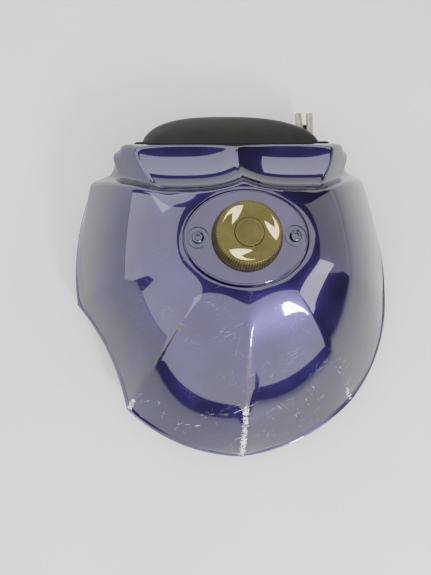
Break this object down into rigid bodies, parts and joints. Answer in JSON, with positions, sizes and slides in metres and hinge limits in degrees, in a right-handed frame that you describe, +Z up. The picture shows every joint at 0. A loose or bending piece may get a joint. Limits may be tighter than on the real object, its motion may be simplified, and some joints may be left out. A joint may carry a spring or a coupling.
{
  "type": "motorcycle fuel tank",
  "caption": "Scallop-fluted pressed-steel motorcycle fuel tank with a bayonet filler cap, push vent button, black tail cover and a lever fuel tap.",
  "frame": {"origin": "bottom centre of the tank's overall box, on the plane that its two lower lobes rest on", "axes": "+Z up along the filler axis, -Y towards the pointed nose, +Y towards the tail cover and the hose spigots, +X to the side that carries the fuel tap"},
  "size_m": [0.3483, 0.3947, 0.1768],
  "materials": {
    "blue_paint": "deep blue-violet candy lacquer, mirror gloss",
    "black_paint": "black paint, semi-gloss",
    "black_plastic": "finely textured matte black moulding",
    "zinc_steel": "bright zinc plate",
    "black_rubber": "smooth black rubber",
    "screw_steel": "plain stainless steel",
    "tap_casting": "black-coated casting",
    "pale_brass": "pale brass tube",
    "strainer_mesh": "fine woven brass gauze",
    "gold_anodised": "olive-gold anodised, satin",
    "cream_inlay": "glossy cream enamel fill",
    "insert_alloy": "plain machined alloy"
  },
  "bodies": {
    "tank": {"upper_shell": "blue_paint", "base_pan": "black_paint", "filler_neck": "zinc_steel", "filler_plate": "blue_paint", "plate_gasket": "black_rubber", "plate_screws": "screw_steel", "plate_washers": "screw_steel", "weld_nuts": "zinc_steel", "tail_section": "black_plastic", "tail_studs": "zinc_steel", "tail_nuts": "zinc_steel", "front_tabs": "black_paint", "mount_grommets": "black_rubber", "mount_sleeves": "zinc_steel", "rear_bracket": "black_paint", "rear_nut": "zinc_steel", "tap_boss": "zinc_steel", "tap_gasket": "black_rubber", "tap_body": "tap_casting", "tap_screws": "zinc_steel", "fuel_spigot": "pale_brass", "vacuum_spigot": "pale_brass", "strainer": "strainer_mesh", "standpipe": "pale_brass"},
    "cap_seal": {"cap_gasket": "black_rubber", "seal_plate": "zinc_steel"},
    "cap": {"cap_body": "gold_anodised", "cap_arrows": "cream_inlay", "cap_insert": "insert_alloy", "insert_screws": "screw_steel", "button_spring": "screw_steel"},
    "button": {"cap_button": "gold_anodised", "vent_seal": "black_rubber", "button_clip": "screw_steel"},
    "lever": {"tap_lever": "tap_casting", "lever_screw": "screw_steel"}
  },
  "joints": [
    {"name": "cap_lift", "type": "slide", "parent": "tank", "child": "cap_seal", "axis": [0, 0, 1], "range_m": [0, 0.04]},
    {"name": "cap_turn", "type": "hinge", "parent": "cap_seal", "child": "cap", "pos_m": [0, 0.01125, 0.16], "axis": [0, 0, 1], "range_deg": [-60, 0]},
    {"name": "button_push", "type": "slide", "parent": "cap", "child": "button", "axis": [0, 0, 1], "range_m": [-0.0024, 0], "stiffness_N_per_m": 400, "springref_m": 0.002, "deforming": ["button_spring"]},
    {"name": "tap_turn", "type": "hinge", "parent": "tank", "child": "lever", "pos_m": [0.08, 0.16925, 0.019], "axis": [1, 0, 0], "range_deg": [-90, 90]}
  ]
}
